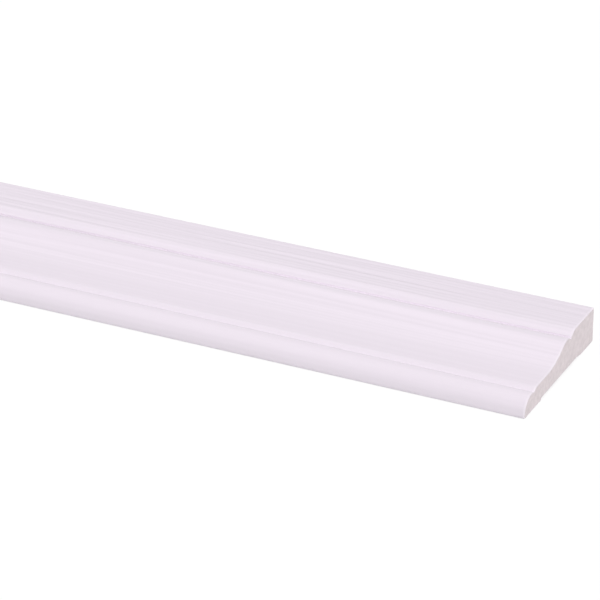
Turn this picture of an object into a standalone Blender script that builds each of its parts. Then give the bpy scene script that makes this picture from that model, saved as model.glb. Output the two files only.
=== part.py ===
"""A stick of door casing, lying on its back: one white moulding of constant section.

Across the stick, from the thick edge that meets the wall to the thin nose at the door opening,
its face has a flat band, a rounded shoulder, a quirk, an ogee, a tread with a rolled edge and
the nose. Its back has a shallow relief between a foot at each edge.

Metres. +X runs along the stick, +Y points to the thick edge and +Z out of the moulded face.
The origin is under the middle of the stick, on the plane that its two feet rest on.
"""

from math import acos, atan2, cos, hypot, pi, radians, sin, tan

import bmesh
import bpy

# The stick
LENGTH = 0.330
WIDTH = 0.08255
THICKNESS = 0.01746

# Flat band along the thick edge. The other members take their width, and it has the rest.
BAND_ARRIS = 0.0007

# Shoulder, the rounded slope at the end of the band, and the quirk, the groove that it drops into
SHOULDER_RADIUS = 0.0155
SHOULDER_TOP_SLOPE = radians(18)
SHOULDER_FOOT_SLOPE = radians(36)
QUIRK_WALL_HEIGHT = 0.0009
QUIRK_WALL_SLOPE = radians(76)
QUIRK_FLOOR = 0.0003

# Ogee: a crest that climbs out of the quirk, a straight run down and a hollow
CREST_CLIMB = 0.00185
CREST_BACK_RADIUS = 0.0061
CREST_RADIUS = 0.0100
OGEE_RUN = 0.0032
HOLLOW_RADIUS = 0.0345
OGEE_FALL = 0.00635

# Tread, the low flat, and the edge that rolls down from it
TREAD_WIDTH = 0.0129
ROLL_RADIUS = 0.0092
ROLL_TOP_SLOPE = radians(12)
ROLL_FOOT_SLOPE = radians(34)

# Nose: its crown stands up behind the rolled edge, runs out over the front and tucks in to a foot
CROWN_RISE = 0.00076
CROWN_RADIUS = 0.0047
NOSE_REACH = 0.00815
NOSE_TUCK = 0.00085

# Back, from the thick edge: a foot, a ramp, the relief, a step and the foot at the nose
WALL_FOOT_WIDTH = 0.0145
RELIEF_RAMP = 0.0056
RELIEF_DEPTH = 0.0010
NOSE_FOOT_WIDTH = 0.0190
FOOT_ARRIS = 0.0005

# Finish
WHITE = (0.84, 0.77, 0.85, 1.0)
ROUGHNESS = 0.45

# Facets: how far an arc turns from one to the next, and the turn over which an edge stays sharp
FACET_TURN = radians(4)
CREASE_TURN = radians(25)


def arc(centre, radii, start, end):
    """Points along an ellipse, in the section's own axes: across the stick and up."""
    steps = max(2, round(abs(end - start) / FACET_TURN))
    turns = [start + (end - start) * step / steps for step in range(steps + 1)]
    return [(centre[0] + radii[0] * cos(turn), centre[1] + radii[1] * sin(turn)) for turn in turns]


def circle(centre, radius, start, end):
    return arc(centre, (radius, radius), start, end)


def rounded_slope(start, radius, top_slope, foot_slope):
    """An arc down from the start that gets steeper, from one slope to another."""
    centre = (start[0] - radius * sin(top_slope), start[1] - radius * cos(top_slope))
    return circle(centre, radius, pi / 2 - top_slope, pi / 2 - foot_slope)


def shoulder(start):
    """The slope from the end of the band, then the quirk's wall and floor."""
    slope = rounded_slope(start, SHOULDER_RADIUS, SHOULDER_TOP_SLOPE, SHOULDER_FOOT_SLOPE)
    lip_across, lip_up = slope[-1]
    wall_foot = (lip_across + QUIRK_WALL_HEIGHT / tan(QUIRK_WALL_SLOPE), lip_up - QUIRK_WALL_HEIGHT)
    return slope + [wall_foot, (wall_foot[0] + QUIRK_FLOOR, wall_foot[1])]


def ogee(start):
    """The climb to the crest, the roll over it, the straight run and the hollow, all tangent."""
    climb_turn = acos(1 - CREST_CLIMB / CREST_BACK_RADIUS)
    crest = (start[0] + CREST_BACK_RADIUS * sin(climb_turn), start[1] + CREST_CLIMB)
    climb = circle(
        (crest[0], crest[1] - CREST_BACK_RADIUS), CREST_BACK_RADIUS, pi / 2 + climb_turn, pi / 2
    )
    slope = ogee_slope()
    roll = circle((crest[0], crest[1] - CREST_RADIUS), CREST_RADIUS, pi / 2, pi / 2 - slope)
    run_foot = (roll[-1][0] + OGEE_RUN * cos(slope), roll[-1][1] - OGEE_RUN * sin(slope))
    hollow_centre = (
        run_foot[0] + HOLLOW_RADIUS * sin(slope),
        run_foot[1] + HOLLOW_RADIUS * cos(slope),
    )
    hollow = circle(hollow_centre, HOLLOW_RADIUS, -pi / 2 - slope, -pi / 2)
    return climb + roll[1:] + hollow


def ogee_slope():
    """The slope of the straight run, at which the ogee's parts add up to its fall."""
    radii = CREST_RADIUS + HOLLOW_RADIUS
    return acos((radii - OGEE_FALL) / hypot(radii, OGEE_RUN)) - atan2(OGEE_RUN, radii)


def tread(start):
    """The far end of the tread, and the edge that rolls down from it."""
    edge = (start[0] + TREAD_WIDTH, start[1])
    return rounded_slope(edge, ROLL_RADIUS, ROLL_TOP_SLOPE, ROLL_FOOT_SLOPE)


def nose(start):
    """The rise to the crown, the long round to the front and the tuck to the foot."""
    back_turn = acos(1 - CROWN_RISE / CROWN_RADIUS)
    crown = (start[0] + CROWN_RADIUS * sin(back_turn), start[1] + CROWN_RISE)
    rise = circle((crown[0], crown[1] - CROWN_RADIUS), CROWN_RADIUS, pi / 2 + back_turn, pi / 2)
    front = arc((crown[0], NOSE_TUCK), (NOSE_REACH, crown[1] - NOSE_TUCK), pi / 2, 0)
    tuck_centre = (crown[0] + NOSE_REACH - NOSE_TUCK, NOSE_TUCK)
    tuck = circle(tuck_centre, NOSE_TUCK, 0, -pi / 2)
    return rise[1:] + front[1:] + tuck[1:]


def back(thick_edge, nose_foot):
    """The underside, from the nose's foot to the thick edge."""
    step = nose_foot - NOSE_FOOT_WIDTH
    ramp_foot = thick_edge + WALL_FOOT_WIDTH
    corner = circle((thick_edge + FOOT_ARRIS, FOOT_ARRIS), FOOT_ARRIS, -pi / 2, -pi)
    return [
        (step, 0),
        (step, RELIEF_DEPTH),
        (ramp_foot + RELIEF_RAMP, RELIEF_DEPTH),
        (ramp_foot, 0),
    ] + corner


def section():
    """The outline of a cut end as (across from the thick edge, up), starting at the shoulder."""
    face = shoulder((0, THICKNESS))
    face += ogee(face[-1])[1:]
    face += tread(face[-1])
    face += nose(face[-1])
    thick_edge = max(across for across, _ in face) - WIDTH
    under = back(thick_edge, face[-1][0])
    arris_centre = (thick_edge + BAND_ARRIS, THICKNESS - BAND_ARRIS)
    arris = circle(arris_centre, BAND_ARRIS, pi, pi / 2)
    return [(across - thick_edge, up) for across, up in face + under + arris]


def white_finish():
    material = bpy.data.materials.new("white moulding")
    material.use_nodes = True
    shader = material.node_tree.nodes["Principled BSDF"]
    shader.inputs["Base Color"].default_value = WHITE
    shader.inputs["Roughness"].default_value = ROUGHNESS
    return material


def casing():
    """The section, drawn at one end and extruded along the stick."""
    shape = bmesh.new()
    corners = [shape.verts.new((-LENGTH / 2, WIDTH / 2 - across, up)) for across, up in section()]
    end = shape.faces.new(corners)
    extruded = bmesh.ops.extrude_face_region(shape, geom=[end])["geom"]
    far_corners = [item for item in extruded if isinstance(item, bmesh.types.BMVert)]
    bmesh.ops.translate(shape, verts=far_corners, vec=(LENGTH, 0, 0))
    bmesh.ops.recalc_face_normals(shape, faces=shape.faces)
    mesh = bpy.data.meshes.new("casing")
    shape.to_mesh(mesh)
    shape.free()
    mesh.shade_smooth()
    mesh.set_sharp_from_angle(angle=CREASE_TURN)
    mesh.materials.append(white_finish())
    stick = bpy.data.objects.new("casing", mesh)
    bpy.context.collection.objects.link(stick)
    return stick


for old in list(bpy.data.objects):
    bpy.data.objects.remove(old, do_unlink=True)
casing()
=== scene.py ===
"""A stick of white door casing, lying on its back with its sawn end in view.

Metres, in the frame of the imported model: +X along the stick, +Y to the thick edge, +Z up.
"""

from math import acos, atan2, cos, hypot, pi, radians, sin, tan

import bpy
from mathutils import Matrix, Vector, noise


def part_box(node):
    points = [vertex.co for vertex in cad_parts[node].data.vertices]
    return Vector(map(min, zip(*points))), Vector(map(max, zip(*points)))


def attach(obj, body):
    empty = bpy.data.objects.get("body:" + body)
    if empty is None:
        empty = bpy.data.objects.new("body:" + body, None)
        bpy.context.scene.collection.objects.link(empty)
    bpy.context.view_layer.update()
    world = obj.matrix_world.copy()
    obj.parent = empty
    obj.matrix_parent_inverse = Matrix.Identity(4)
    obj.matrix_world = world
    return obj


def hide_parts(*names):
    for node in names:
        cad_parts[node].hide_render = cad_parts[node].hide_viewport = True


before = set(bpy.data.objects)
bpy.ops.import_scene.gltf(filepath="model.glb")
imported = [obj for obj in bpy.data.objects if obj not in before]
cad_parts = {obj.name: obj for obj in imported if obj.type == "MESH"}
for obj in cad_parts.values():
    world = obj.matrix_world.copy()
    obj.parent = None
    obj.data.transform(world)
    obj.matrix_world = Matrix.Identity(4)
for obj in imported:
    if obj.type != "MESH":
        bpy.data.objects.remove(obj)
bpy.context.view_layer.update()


# Casing. One stick of foamed plastic, white all through, pushed through a die that gives it its
# section and its faint lengthwise lines, then sawn off square at both ends. It is nailed or glued
# by the two feet on its back, and it lies on them here.

stick_low, stick_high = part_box("casing")
WIDTH = stick_high.y - stick_low.y
THICKNESS = stick_high.z - stick_low.z

# The moulded face, from the thick edge to the nose
BAND_ARRIS = 0.0007
SHOULDER_RADIUS = 0.0155
SHOULDER_TOP_SLOPE = radians(18)
SHOULDER_FOOT_SLOPE = radians(36)
QUIRK_WALL_HEIGHT = 0.0009
QUIRK_WALL_SLOPE = radians(76)
QUIRK_FLOOR = 0.0003
CREST_CLIMB = 0.00185
CREST_BACK_RADIUS = 0.0061
CREST_RADIUS = 0.0100
OGEE_RUN = 0.0032
HOLLOW_RADIUS = 0.0345
OGEE_FALL = 0.00635
TREAD_WIDTH = 0.0129
ROLL_RADIUS = 0.0092
ROLL_TOP_SLOPE = radians(12)
ROLL_FOOT_SLOPE = radians(34)
CROWN_RISE = 0.00076
CROWN_RADIUS = 0.0047
NOSE_REACH = 0.00815
NOSE_TUCK = 0.00085

# The back, from the thick edge to the nose
FOOT_ARRIS = 0.0005
WALL_FOOT_WIDTH = 0.0145
RELIEF_RAMP = 0.0056
RELIEF_DEPTH = 0.0010
NOSE_FOOT_STEP = 0.0002
NOSE_FOOT_WIDTH = 0.0190

ARC_TURN = radians(3)


def arc(centre, radii, start, end):
    """Points along an ellipse in the section: across the stick from the thick edge, and up."""
    steps = max(2, round(abs(end - start) / ARC_TURN))
    points = []
    for step in range(steps + 1):
        turn = start + (end - start) * step / steps
        points.append(Vector((centre[0] + radii[0] * cos(turn), centre[1] + radii[1] * sin(turn))))
    return points


def circle(centre, radius, start, end):
    return arc(centre, (radius, radius), start, end)


def rounded_slope(start, radius, top_slope, foot_slope):
    """An arc down from the start that gets steeper, from one slope to another."""
    centre = (start[0] - radius * sin(top_slope), start[1] - radius * cos(top_slope))
    return circle(centre, radius, pi / 2 - top_slope, pi / 2 - foot_slope)


def shoulder_and_quirk(start):
    """The slope at the end of the band, then the wall and the floor of the groove below it."""
    slope = rounded_slope(start, SHOULDER_RADIUS, SHOULDER_TOP_SLOPE, SHOULDER_FOOT_SLOPE)
    wall = Vector((QUIRK_WALL_HEIGHT / tan(QUIRK_WALL_SLOPE), -QUIRK_WALL_HEIGHT))
    return slope + [slope[-1] + wall, slope[-1] + wall + Vector((QUIRK_FLOOR, 0))]


def ogee(start):
    """The climb to the crest, the roll over it, a straight run down and the hollow."""
    radii = CREST_RADIUS + HOLLOW_RADIUS
    slope = acos((radii - OGEE_FALL) / hypot(radii, OGEE_RUN)) - atan2(OGEE_RUN, radii)
    climb_turn = acos(1 - CREST_CLIMB / CREST_BACK_RADIUS)
    crest = start + Vector((CREST_BACK_RADIUS * sin(climb_turn), CREST_CLIMB))
    back_centre = crest - Vector((0, CREST_BACK_RADIUS))
    climb = circle(back_centre, CREST_BACK_RADIUS, pi / 2 + climb_turn, pi / 2)
    roll = circle(crest - Vector((0, CREST_RADIUS)), CREST_RADIUS, pi / 2, pi / 2 - slope)
    run_foot = roll[-1] + OGEE_RUN * Vector((cos(slope), -sin(slope)))
    hollow_centre = run_foot + HOLLOW_RADIUS * Vector((sin(slope), cos(slope)))
    hollow = circle(hollow_centre, HOLLOW_RADIUS, -pi / 2 - slope, -pi / 2)
    return climb + roll[1:] + hollow


def tread(start):
    """The far end of the low flat, and the edge that rolls down from it."""
    edge = start + Vector((TREAD_WIDTH, 0))
    return rounded_slope(edge, ROLL_RADIUS, ROLL_TOP_SLOPE, ROLL_FOOT_SLOPE)


def nose(start):
    """The rise to the crown, then the long round that ends at the furthest reach of the nose."""
    back_turn = acos(1 - CROWN_RISE / CROWN_RADIUS)
    crown = start + Vector((CROWN_RADIUS * sin(back_turn), CROWN_RISE))
    rise = circle(crown - Vector((0, CROWN_RADIUS)), CROWN_RADIUS, pi / 2 + back_turn, pi / 2)
    front = arc((crown.x, NOSE_TUCK), (NOSE_REACH, crown.y - NOSE_TUCK), pi / 2, 0)
    return rise[1:] + front[1:]


def face_line():
    """The moulded face, from its arris at the thick edge to the tip of the nose."""
    members = shoulder_and_quirk(Vector((0, THICKNESS)))
    members += ogee(members[-1])[1:]
    members += tread(members[-1])
    members += nose(members[-1])
    band_end = Vector((WIDTH - members[-1].x, 0))
    arris = circle((BAND_ARRIS, THICKNESS - BAND_ARRIS), BAND_ARRIS, pi, pi / 2)
    return arris + [point + band_end for point in members]


def back_line():
    """The back, from the thick edge over its foot, the relief and the nose's foot to the tip."""
    nose_foot = WIDTH - NOSE_TUCK
    step = nose_foot - NOSE_FOOT_WIDTH
    corner = circle((FOOT_ARRIS, FOOT_ARRIS), FOOT_ARRIS, -pi, -pi / 2)
    tuck = circle((nose_foot, NOSE_TUCK), NOSE_TUCK, -pi / 2, 0)
    relief = [
        Vector((WALL_FOOT_WIDTH, 0)),
        Vector((WALL_FOOT_WIDTH + RELIEF_RAMP, RELIEF_DEPTH)),
        Vector((step - NOSE_FOOT_STEP, RELIEF_DEPTH)),
        Vector((step, 0)),
    ]
    return corner + relief + tuck


# Where the section turns more than this, the plastic leaves the die with the corner eased. The
# easing takes less than half of the line on either side.
CORNER = radians(10)
DIE_EASE = 0.00035
EASE_STEPS = 4
EASE_LIMIT = 2.2


def eased(line):
    """The line with its sharp corners rounded a little."""
    made = [line[0]]
    for before, corner, after in zip(line, line[1:], line[2:]):
        arriving = (corner - before).normalized()
        leaving = (after - corner).normalized()
        turn = arriving.angle(leaving)
        if turn < CORNER:
            made.append(corner)
            continue
        room = min((corner - before).length / EASE_LIMIT, (after - corner).length / EASE_LIMIT)
        reach = min(DIE_EASE * tan(turn / 2), room)
        for step in range(EASE_STEPS + 1):
            share = step / EASE_STEPS
            on_first = corner - arriving * reach * (1 - share)
            on_second = corner + leaving * reach * share
            made.append(on_first.lerp(on_second, share))
    return made + [line[-1]]


# The section is drawn as upright columns: one at each of its corners, and more between them where
# they stand further apart than about a strip's width.
MARK_DIGITS = 6
STRIP_WIDTH = 0.0005
STRIP_ROUNDING = 0.3
LEAST_RUN = 1e-12


def height_at(line, across):
    """How high the line runs at a distance across the stick."""
    for before, after in zip(line, line[1:]):
        if across <= after.x:
            share = (across - before.x) / max(after.x - before.x, LEAST_RUN)
            return before.y + (after.y - before.y) * min(max(share, 0), 1)
    return line[-1].y


def section_columns():
    """Each column's place on the back and on the face."""
    face = eased(face_line())
    back = eased(back_line())
    marks = sorted({round(point.x, MARK_DIGITS) for point in face + back})
    places = [marks[0]]
    for mark in marks[1:]:
        parts = max(1, round((mark - places[-1]) / STRIP_WIDTH + STRIP_ROUNDING))
        first = places[-1]
        places += [first + (mark - first) * part / parts for part in range(1, parts + 1)]
    columns = []
    for across in places:
        low, high = height_at(back, across), height_at(face, across)
        columns.append((Vector((across, low)), Vector((across, max(low, high)))))
    return columns


# Faint lines run along the stick where it was drawn through the die. They wander a little, and they
# are deepest on the flat band. Each pair is a place across the stick and the lines' depth there.
LINE_DEPTHS = (
    (0, 0),
    (0.002, 0.00022),
    (0.021, 0.00022),
    (0.024, 0.00003),
    (0.044, 0.00004),
    (0.052, 0.00002),
    (0.067, 0.00002),
    (0.074, 0.00003),
    (WIDTH, 0),
)
LINES_PER_METRE = 500
WANDERS_PER_METRE = 14
MIDDLE_SHARE = 0.5


def line_depth(along, across):
    """How far the face sinks under its true section in a line, at a place on the stick. Where the
    noise is 0, it sinks by the middle share of the deepest."""
    for before, after in zip(LINE_DEPTHS, LINE_DEPTHS[1:]):
        if across <= after[0]:
            break
    share = (across - before[0]) / (after[0] - before[0])
    deepest = before[1] + (after[1] - before[1]) * share
    rise = noise.noise(Vector((along * WANDERS_PER_METRE, across * LINES_PER_METRE, 0)))
    return deepest * min(max(MIDDLE_SHARE - rise, 0), 1)


# The saw: a fine blade takes the ends off square. It leaves its sweep on the foam and just breaks
# the sharpness of the edges it comes through.
SAWN_EDGE = 0.0003
SAWN_EDGE_TURNS = (pi / 2, pi / 3, pi / 6, 0)
SAW_RADIUS = 0.125
SAW_CENTRE = Vector((0.055, -0.100))
SAW_MARK_PITCH = 0.0021
SAW_MARK_DEPTH = 0.000012
FINER_PITCH_SHARE = 0.37
FINER_DEPTH_SHARE = 0.4
END_ROWS = 28
STATIONS = 60
COLUMN_GAP = 0.000001
CREASE_TURN = radians(32)


def saw_mark(point):
    """How deep the blade's sweep is at a point of the sawn end, with finer marks over its own."""
    sweep = (point - SAW_CENTRE).length - SAW_RADIUS
    mark = sin(2 * pi * sweep / SAW_MARK_PITCH)
    finer = FINER_DEPTH_SHARE * sin(2 * pi * sweep / (SAW_MARK_PITCH * FINER_PITCH_SHARE))
    return SAW_MARK_DEPTH * (1 + (mark + finer) / (1 + FINER_DEPTH_SHARE)) / 2


def stations():
    """Places along the stick, each with how far the section is drawn in there by a broken edge."""
    half = (stick_high.x - stick_low.x) / 2
    rim = [(SAWN_EDGE * (1 - sin(turn)), SAWN_EDGE * (1 - cos(turn))) for turn in SAWN_EDGE_TURNS]
    rim.append((2 * SAWN_EDGE, 0))
    span = 2 * (half - 2 * SAWN_EDGE)
    middle = [(2 * SAWN_EDGE - half + span * step / STATIONS, 0) for step in range(1, STATIONS)]
    left = [(from_end - half, inset) for from_end, inset in rim]
    right = [(half - from_end, inset) for from_end, inset in reversed(rim)]
    return left + middle + right


def outward(points, index):
    """The way out of a line at one of its points: left of the way it runs."""
    along = points[min(index + 1, len(points) - 1)] - points[max(index - 1, 0)]
    return Vector((-along.y, along.x)).normalized()


def drawn_in(line, ways, inset):
    """The line moved in by a broken edge, with its points kept in order across the stick."""
    moved = [point - way * inset for point, way in zip(line, ways)]
    for before, point in zip(moved, moved[1:]):
        point.x = max(point.x, before.x + COLUMN_GAP)
    return moved


def casing_mesh(skin, sawn):
    """A box of stations, columns and rows with only its outer skin made."""
    columns = section_columns()
    backs = [low for low, _ in columns]
    faces = [high for _, high in columns]
    back_ways = [-outward(backs, index) for index in range(len(backs))]
    face_ways = [outward(faces, index) for index in range(len(faces))]
    back_ways[0] = face_ways[0] = Vector((-1, 0))
    back_ways[-1] = face_ways[-1] = Vector((1, 0))
    places = stations()
    rims = {}
    for _, inset in places:
        rims[inset] = (drawn_in(backs, back_ways, inset), drawn_in(faces, face_ways, inset))
    last_station, last_column = len(places) - 1, len(columns) - 1
    points, numbers = [], {}

    def number(station, column, row):
        row = 0 if column == last_column else row
        key = (station, column, row)
        if key not in numbers:
            along, inset = places[station]
            low, high = (line[column] for line in rims[inset])
            sunk = Vector((0, line_depth(along, faces[column].x)))
            point = low.lerp(high - sunk, row / END_ROWS)
            if station in (0, last_station):
                along -= saw_mark(point) * (1 if station else -1)
            numbers[key] = len(points)
            points.append((along, WIDTH / 2 - point.x, point.y))
        return numbers[key]

    polygons, slots = [], []
    skin_slot, sawn_slot = 0, 1

    def quad(corners, slot):
        loop = list(dict.fromkeys(number(*corner) for corner in corners))
        if len(loop) > 2:
            polygons.append(loop)
            slots.append(slot)

    for station in range(last_station):
        after = station + 1
        for column in range(last_column):
            right = column + 1
            top = [(station, column, END_ROWS), (station, right, END_ROWS)]
            quad(top + [(after, right, END_ROWS), (after, column, END_ROWS)], skin_slot)
            under = [(after, column, 0), (after, right, 0)]
            quad(under + [(station, right, 0), (station, column, 0)], skin_slot)
        for row in range(END_ROWS):
            low_edge = [(after, 0, row), (station, 0, row)]
            quad(low_edge + [(station, 0, row + 1), (after, 0, row + 1)], skin_slot)
    for column in range(last_column):
        for row in range(END_ROWS):
            square = [(column, row), (column + 1, row), (column + 1, row + 1), (column, row + 1)]
            quad([(last_station, *corner) for corner in reversed(square)], sawn_slot)
            quad([(0, *corner) for corner in square], sawn_slot)
    mesh = bpy.data.meshes.new("casing stick")
    mesh.from_pydata(points, [], polygons)
    mesh.materials.append(skin)
    mesh.materials.append(sawn)
    mesh.polygons.foreach_set("material_index", slots)
    mesh.shade_smooth()
    mesh.set_sharp_from_angle(angle=CREASE_TURN)
    return mesh


def new_finish(name, roughness):
    """A material with its nodes, its shader and a way to link them."""
    material = bpy.data.materials.new(name)
    material.use_nodes = True
    shader = material.node_tree.nodes["Principled BSDF"]
    shader.inputs["Roughness"].default_value = roughness
    return material, material.node_tree.nodes, material.node_tree.links, shader


def grain(nodes, links, scale, detail):
    """Noise in the stick's own axes, drawn out or squeezed by a scale for each axis."""
    place = nodes.new("ShaderNodeTexCoord")
    stretch = nodes.new("ShaderNodeMapping")
    stretch.inputs["Scale"].default_value = scale
    clouds = nodes.new("ShaderNodeTexNoise")
    clouds.inputs["Scale"].default_value = 1
    clouds.inputs["Detail"].default_value = detail
    links.new(place.outputs["Object"], stretch.inputs["Vector"])
    links.new(stretch.outputs["Vector"], clouds.inputs["Vector"])
    return clouds.outputs["Fac"]


# Noise runs mostly between these two levels.
NOISE_LOW = 0.3
NOISE_HIGH = 0.7


def tones(nodes, links, factor, dark, light):
    """A colour between two tones, spread over the middle of the noise."""
    ramp = nodes.new("ShaderNodeValToRGB")
    ramp.color_ramp.elements[0].position = NOISE_LOW
    ramp.color_ramp.elements[0].color = dark
    ramp.color_ramp.elements[1].position = NOISE_HIGH
    ramp.color_ramp.elements[1].color = light
    links.new(factor, ramp.inputs["Fac"])
    return ramp.outputs["Color"]


def bumps(nodes, links, height, depth, under=None):
    """The shader's way out of a surface that rises and sinks with a height, over other bumps."""
    bump = nodes.new("ShaderNodeBump")
    bump.inputs["Strength"].default_value = 1
    bump.inputs["Distance"].default_value = depth
    links.new(height, bump.inputs["Height"])
    if under:
        links.new(under, bump.inputs["Normal"])
    return bump.outputs["Normal"]


def spread(nodes, links, value, start, end, least=0):
    """1 where the value is past the end, falling to the least at the start."""
    span = nodes.new("ShaderNodeMapRange")
    span.inputs["From Min"].default_value = start
    span.inputs["From Max"].default_value = end
    span.inputs["To Min"].default_value = least
    links.new(value, span.inputs["Value"])
    return span.outputs["Result"]


def mixed(nodes, links, share, first, second):
    """One colour where the share is 0 and another where it is 1. Each is a colour or a node's output."""
    mix = nodes.new("ShaderNodeMix")
    mix.data_type = "RGBA"
    links.new(share, mix.inputs["Factor"])
    for name, colour in (("A", first), ("B", second)):
        if isinstance(colour, tuple):
            mix.inputs[name].default_value = colour
        else:
            links.new(colour, mix.inputs[name])
    return mix.outputs["Result"]


# The skin that the die leaves. A grain gives its noise's scale along, across and up the stick.
SKIN_WHITE = (0.803, 0.746, 0.810, 1)
SKIN_ROUGHNESS = 0.6
STREAK_DARK = (0.780, 0.725, 0.787, 1)
STREAK_LIGHT = (0.826, 0.767, 0.833, 1)
STREAK_GRAIN = (5, 600, 600)
STREAKS_FADE_FROM = -0.005
STREAKS_FADE_TO = -0.012
STREAKS_LEFT = 0.3
# A painted highlight: the skin is drawn a lighter white in a thin rim along each sawn end, where light
# catches the broken edge.
HIGHLIGHT_RIM_WIDTH = 0.0011
PAINTED_HIGHLIGHT_WHITE = (0.840, 0.784, 0.842, 1)
PEEL_GRAIN = (900, 1600, 1600)
PEEL_DEPTH = 0.000012
DRAWN_GRAIN = (6, 900, 900)
DRAWN_DEPTH = 0.00001


def drawn_skin():
    """Dull white skin over a fine orange peel. Faint streaks run along it, strongest on the thick
    half, and a painted highlight lightens it in a thin rim along the sawn edges."""
    material, nodes, links, shader = new_finish("drawn white skin", SKIN_ROUGHNESS)
    place = nodes.new("ShaderNodeTexCoord")
    split = nodes.new("ShaderNodeSeparateXYZ")
    from_middle = nodes.new("ShaderNodeMath")
    from_middle.operation = "ABSOLUTE"
    links.new(place.outputs["Object"], split.inputs["Vector"])
    links.new(split.outputs["X"], from_middle.inputs[0])
    streaks = tones(nodes, links, grain(nodes, links, STREAK_GRAIN, detail=0), STREAK_DARK, STREAK_LIGHT)
    across = split.outputs["Y"]
    thick_half = spread(nodes, links, across, STREAKS_FADE_TO, STREAKS_FADE_FROM, STREAKS_LEFT)
    streaked = mixed(nodes, links, thick_half, SKIN_WHITE, streaks)
    # Painted highlight along both sawn ends: a lighter white within the rim's width of each end.
    highlight_rim_start = stick_high.x - HIGHLIGHT_RIM_WIDTH
    painted_highlight_share = spread(nodes, links, from_middle.outputs["Value"], highlight_rim_start, highlight_rim_start + HIGHLIGHT_RIM_WIDTH / 2)
    links.new(mixed(nodes, links, painted_highlight_share, streaked, PAINTED_HIGHLIGHT_WHITE), shader.inputs["Base Color"])
    peel = bumps(nodes, links, grain(nodes, links, PEEL_GRAIN, detail=2), PEEL_DEPTH)
    drawn = bumps(nodes, links, grain(nodes, links, DRAWN_GRAIN, detail=3), DRAWN_DEPTH, peel)
    links.new(drawn, shader.inputs["Normal"])
    return material


# The foam inside, bared by the saw
FOAM_DARK = (0.738, 0.669, 0.683, 1)
FOAM_LIGHT = (0.850, 0.774, 0.790, 1)
FOAM_ROUGHNESS = 0.8
FOAM_SHINE = 0.25
MOTTLE_GRAIN = (420, 420, 420)
CELL_GRAIN = (3200, 3200, 3200)
CELL_DEPTH = 0.00006


def sawn_foam():
    """The foam where the saw has been: matt, a little warmer, with fine open cells."""
    material, nodes, links, shader = new_finish("sawn white foam", FOAM_ROUGHNESS)
    shader.inputs["Specular IOR Level"].default_value = FOAM_SHINE
    mottle = grain(nodes, links, MOTTLE_GRAIN, detail=6)
    links.new(tones(nodes, links, mottle, FOAM_DARK, FOAM_LIGHT), shader.inputs["Base Color"])
    cells = bumps(nodes, links, grain(nodes, links, CELL_GRAIN, detail=3), CELL_DEPTH)
    links.new(cells, shader.inputs["Normal"])
    return material


casing = bpy.data.objects.new("casing_stick", casing_mesh(drawn_skin(), sawn_foam()))
bpy.context.scene.collection.objects.link(casing)
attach(casing, "root")
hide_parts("casing")


# Studio. The stick lies on a plain white floor, which the camera sees with its shadows thinned. A
# big soft lamp stands halfway up the sky, out in front of the nose and as far to the right, and a
# pale sky lights the rest.

FLOOR_REACH = 40.0
FLOOR_GAP = 0.00005
FLOOR_WHITE = (0.79, 0.81, 0.79, 1)
FLOOR_ROUGHNESS = 0.9
FLOOR_GLOW = 1.1
SHADOW_LOSS = 0.7


def studio_floor():
    """A flat floor just under the feet. The camera alone sees part of it replaced by a plain glow."""
    mesh = bpy.data.meshes.new("studio floor")
    level = stick_low.z - FLOOR_GAP
    corners = [(-1, -1), (1, -1), (1, 1), (-1, 1)]
    mesh.from_pydata([(FLOOR_REACH * x, FLOOR_REACH * y, level) for x, y in corners], [], [(0, 1, 2, 3)])
    material, nodes, links, shader = new_finish("floor white", FLOOR_ROUGHNESS)
    shader.inputs["Base Color"].default_value = FLOOR_WHITE
    shader.inputs["Specular IOR Level"].default_value = 0
    glow = nodes.new("ShaderNodeEmission")
    glow.inputs["Strength"].default_value = FLOOR_GLOW
    seen = nodes.new("ShaderNodeLightPath")
    share = nodes.new("ShaderNodeMath")
    share.operation = "MULTIPLY"
    share.inputs[1].default_value = SHADOW_LOSS
    both = nodes.new("ShaderNodeMixShader")
    links.new(seen.outputs["Is Camera Ray"], share.inputs[0])
    links.new(share.outputs["Value"], both.inputs["Fac"])
    links.new(shader.outputs["BSDF"], both.inputs[1])
    links.new(glow.outputs["Emission"], both.inputs[2])
    links.new(both.outputs["Shader"], nodes["Material Output"].inputs["Surface"])
    mesh.materials.append(material)
    return bpy.data.objects.new("studio_floor", mesh)


floor = studio_floor()
bpy.context.scene.collection.objects.link(floor)

WHITE_LIGHT = (1, 1, 1, 1)
SKY_LOW = 0.0
SKY_HIGH = 1.05
BACKDROP = 1.0

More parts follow.
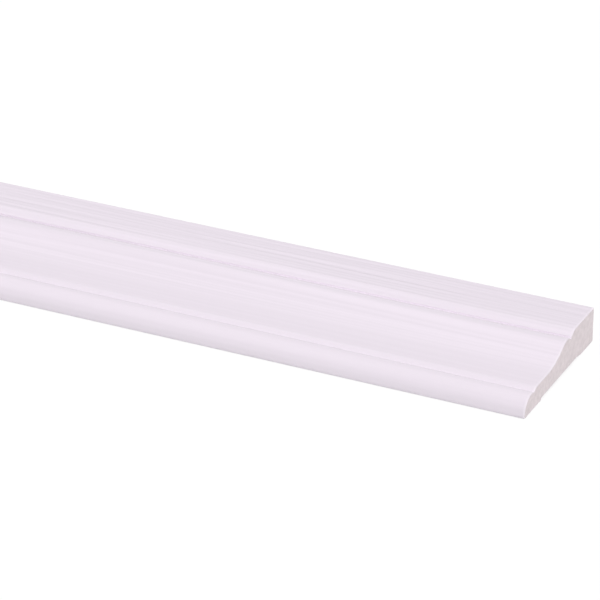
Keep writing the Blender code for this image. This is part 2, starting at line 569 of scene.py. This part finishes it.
sky = bpy.data.worlds.new("pale sky")
sky.use_nodes = True
bpy.context.scene.world = sky
sky_nodes, sky_links = sky.node_tree.nodes, sky.node_tree.links
way = sky_nodes.new("ShaderNodeTexCoord")
split = sky_nodes.new("ShaderNodeSeparateXYZ")
level = sky_nodes.new("ShaderNodeMapRange")
level.inputs["To Min"].default_value = SKY_LOW
level.inputs["To Max"].default_value = SKY_HIGH
sky_links.new(way.outputs["Generated"], split.inputs["Vector"])
sky_links.new(split.outputs["Z"], level.inputs["Value"])
sky_links.new(level.outputs["Result"], sky_nodes["Background"].inputs["Strength"])
sky_nodes["Background"].inputs["Color"].default_value = WHITE_LIGHT
backdrop = sky_nodes.new("ShaderNodeBackground")
backdrop.inputs["Color"].default_value = WHITE_LIGHT
backdrop.inputs["Strength"].default_value = BACKDROP
path = sky_nodes.new("ShaderNodeLightPath")
choice = sky_nodes.new("ShaderNodeMixShader")
sky_links.new(path.outputs["Is Camera Ray"], choice.inputs["Fac"])
sky_links.new(sky_nodes["Background"].outputs["Background"], choice.inputs[1])
sky_links.new(backdrop.outputs["Background"], choice.inputs[2])
sky_links.new(choice.outputs["Shader"], sky_nodes["World Output"].inputs["Surface"])

LAMP_HEIGHT = radians(45)
LAMP_TURN = radians(45)
LAMP_SOFTNESS = radians(40)
LAMP_STRENGTH = 1.525
LAMP_TINT = (1.0, 0.955, 1.0)


def towards(turn, height):
    """The way to a place seen from the stick, turned from straight ahead of the nose to the right."""
    return Vector((sin(turn) * cos(height), -cos(turn) * cos(height), sin(height)))


lamp = bpy.data.objects.new("soft lamp", bpy.data.lights.new("soft lamp", "SUN"))
lamp.data.energy = LAMP_STRENGTH
lamp.data.color = LAMP_TINT
lamp.data.angle = LAMP_SOFTNESS
lamp.rotation_euler = towards(LAMP_TURN, LAMP_HEIGHT).to_track_quat("Z", "Y").to_euler()
bpy.context.scene.collection.objects.link(lamp)

LENS_MM = 200
CAMERA_TURN = radians(25.749)
CAMERA_HEIGHT = radians(26.982)
CAMERA_DISTANCE = 1.5676
CAMERA_AIM = Vector((0.02594, 0.02029, 0))

camera = bpy.data.objects.new("camera", bpy.data.cameras.new("camera"))
camera.data.lens = LENS_MM
camera.location = CAMERA_AIM + CAMERA_DISTANCE * towards(CAMERA_TURN, CAMERA_HEIGHT)
camera.rotation_euler = (pi / 2 - CAMERA_HEIGHT, 0, CAMERA_TURN)
bpy.context.scene.collection.objects.link(camera)
bpy.context.scene.camera = camera
bpy.context.scene.view_settings.view_transform = "Standard"
